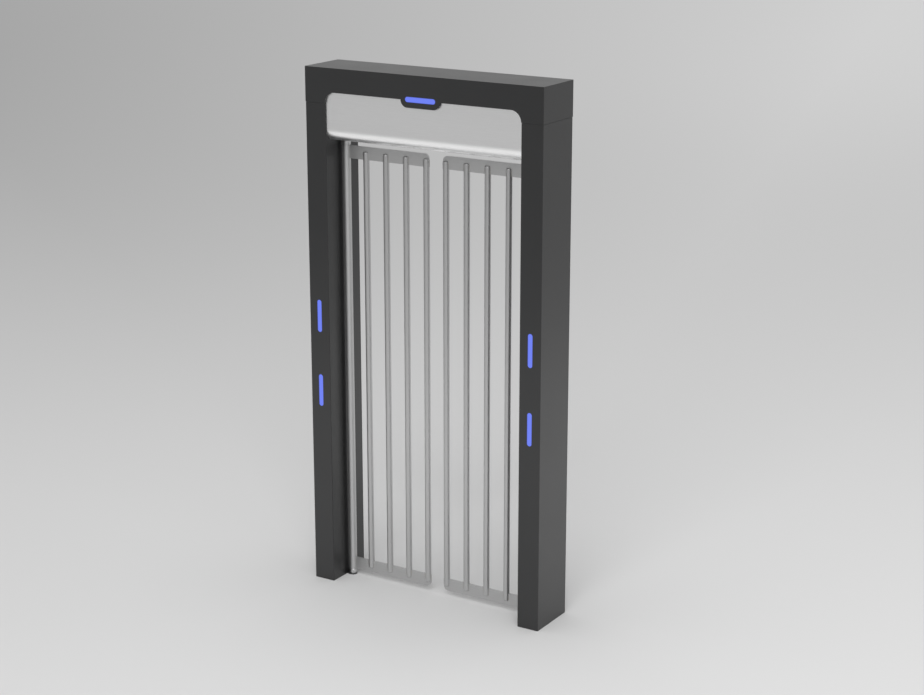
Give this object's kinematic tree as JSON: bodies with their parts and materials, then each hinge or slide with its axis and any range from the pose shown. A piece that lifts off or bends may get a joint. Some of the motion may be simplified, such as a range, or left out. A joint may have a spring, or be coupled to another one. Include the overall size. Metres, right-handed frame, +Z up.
{
  "type": "pedestrian swing gate",
  "caption": "Dark sheet-metal portal with a rolled stainless header cover, blue light strips, and two swinging leaves of round upright bars between flat rails.",
  "frame": {"origin": "centre of the left post's foot, on the floor", "axes": "+X along the portal to the other post, +Y through it to the back, +Z up"},
  "size_m": [1.1524, 0.2424, 2.3],
  "materials": {
    "dark_paint": "dark grey semi-gloss powder coat, fine grained",
    "brushed_stainless": "stainless sheet, brushed along its length",
    "satin_stainless": "satin ground stainless tube and flat bar",
    "turned_steel": "turned stainless",
    "zinc_steel": "zinc-plated steel",
    "blue_light": "lit blue diffuser, satin"
  },
  "bodies": {
    "portal": {"left_post": "dark_paint", "right_post": "dark_paint", "header_shell": "dark_paint", "drive_cover": "brushed_stainless", "drive_beam": "zinc_steel", "left_drive": "zinc_steel", "right_drive": "zinc_steel", "left_bearing": "turned_steel", "right_bearing": "turned_steel", "left_base_plate": "dark_paint", "right_base_plate": "dark_paint", "left_head_plate": "dark_paint", "right_head_plate": "dark_paint", "left_floor_pivot": "turned_steel", "right_floor_pivot": "turned_steel", "left_front_upper_lens": "blue_light", "left_front_lower_lens": "blue_light", "left_back_upper_lens": "blue_light", "left_back_lower_lens": "blue_light", "right_front_upper_lens": "blue_light", "right_front_lower_lens": "blue_light", "right_back_upper_lens": "blue_light", "right_back_lower_lens": "blue_light", "header_front_lens": "blue_light", "header_back_lens": "blue_light"},
    "left_leaf": {"left_hinge_tube": "satin_stainless", "left_drive_hub": "turned_steel", "left_pivot_bush": "turned_steel", "left_top_rail": "satin_stainless", "left_bottom_rail": "satin_stainless", "left_bar_1": "satin_stainless", "left_bar_2": "satin_stainless", "left_bar_3": "satin_stainless", "left_bar_4": "satin_stainless"},
    "right_leaf": {"right_hinge_tube": "satin_stainless", "right_drive_hub": "turned_steel", "right_pivot_bush": "turned_steel", "right_top_rail": "satin_stainless", "right_bottom_rail": "satin_stainless", "right_bar_1": "satin_stainless", "right_bar_2": "satin_stainless", "right_bar_3": "satin_stainless", "right_bar_4": "satin_stainless"}
  },
  "joints": [
    {"name": "left_leaf_swing", "type": "hinge", "parent": "portal", "child": "left_leaf", "pos_m": [0.073, 0, 0.0275], "axis": [0, 0, 1], "range_deg": [-90, 90]},
    {"name": "right_leaf_swing", "type": "hinge", "parent": "portal", "child": "right_leaf", "pos_m": [0.977, 0, 0.0275], "axis": [0, 0, -1], "range_deg": [-90, 90]}
  ]
}
